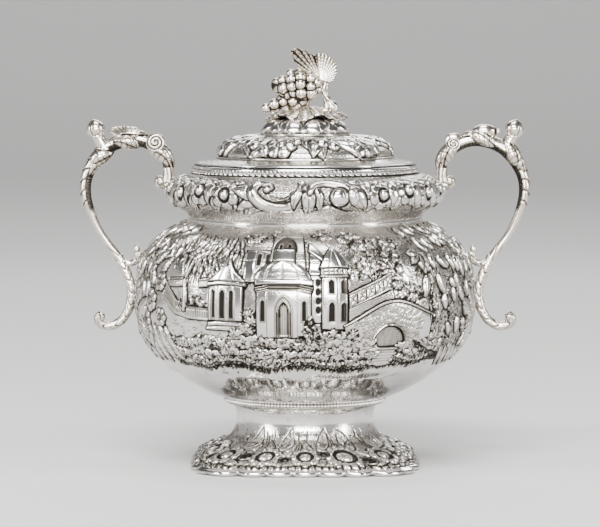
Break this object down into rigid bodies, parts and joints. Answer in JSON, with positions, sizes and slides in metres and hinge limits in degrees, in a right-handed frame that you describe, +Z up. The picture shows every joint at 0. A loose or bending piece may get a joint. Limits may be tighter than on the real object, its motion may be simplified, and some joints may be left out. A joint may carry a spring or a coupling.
{
  "type": "covered sugar bowl",
  "caption": "Round-bellied silver sugar bowl with a spreading pierced foot, branch handles on both sides and a lift-off domed cover with a grape finial",
  "frame": {"origin": "the middle of the foot's underside, on the bowl's axis", "axes": "+Z up along the bowl's axis; the handles lie along X; the front, with the open-flower handle on its left, faces -Y"},
  "size_m": [0.2324, 0.1752, 0.2181],
  "materials": {
    "silver_sheet": "polished silver, chased, with darkened recesses",
    "silver_casting": "cast silver, chased, with darkened recesses"
  },
  "bodies": {
    "bowl": {"bowl_belly": "silver_sheet", "bowl_collar": "silver_sheet", "rim_wire": "silver_sheet", "joint_bead_wire": "silver_sheet", "foot_spool": "silver_sheet", "foot_flange": "silver_sheet", "foot_edge_wire": "silver_sheet", "right_handle_branch": "silver_casting", "right_handle_volute": "silver_casting", "right_handle_lower_scroll": "silver_casting", "right_handle_belly_strut": "silver_casting", "right_handle_bud": "silver_casting", "right_handle_bud_stalk": "silver_casting", "right_handle_closed_bud": "silver_casting", "right_handle_front_rose": "silver_casting", "right_handle_back_rose": "silver_casting", "right_handle_leaf_1": "silver_casting", "right_handle_leaf_2": "silver_casting", "right_handle_leaf_3": "silver_casting", "right_handle_leaf_4": "silver_casting", "left_handle_branch": "silver_casting", "left_handle_volute": "silver_casting", "left_handle_lower_scroll": "silver_casting", "left_handle_belly_strut": "silver_casting", "left_handle_bud": "silver_casting", "left_handle_bud_stalk": "silver_casting", "left_handle_open_flower": "silver_casting", "left_handle_front_rose": "silver_casting", "left_handle_back_rose": "silver_casting", "left_handle_leaf_1": "silver_casting", "left_handle_leaf_2": "silver_casting", "left_handle_leaf_3": "silver_casting", "left_handle_leaf_4": "silver_casting"},
    "cover": {"cover_dome": "silver_sheet", "cover_bezel": "silver_sheet", "finial_leaf_plate": "silver_casting", "finial_grapes": "silver_casting", "finial_stem": "silver_casting", "finial_vine_leaf": "silver_casting", "finial_small_leaf": "silver_casting"}
  },
  "joints": [
    {"name": "cover_lift", "type": "slide", "parent": "bowl", "child": "cover", "axis": [0, 0, 1], "range_m": [0, 0.1]}
  ]
}
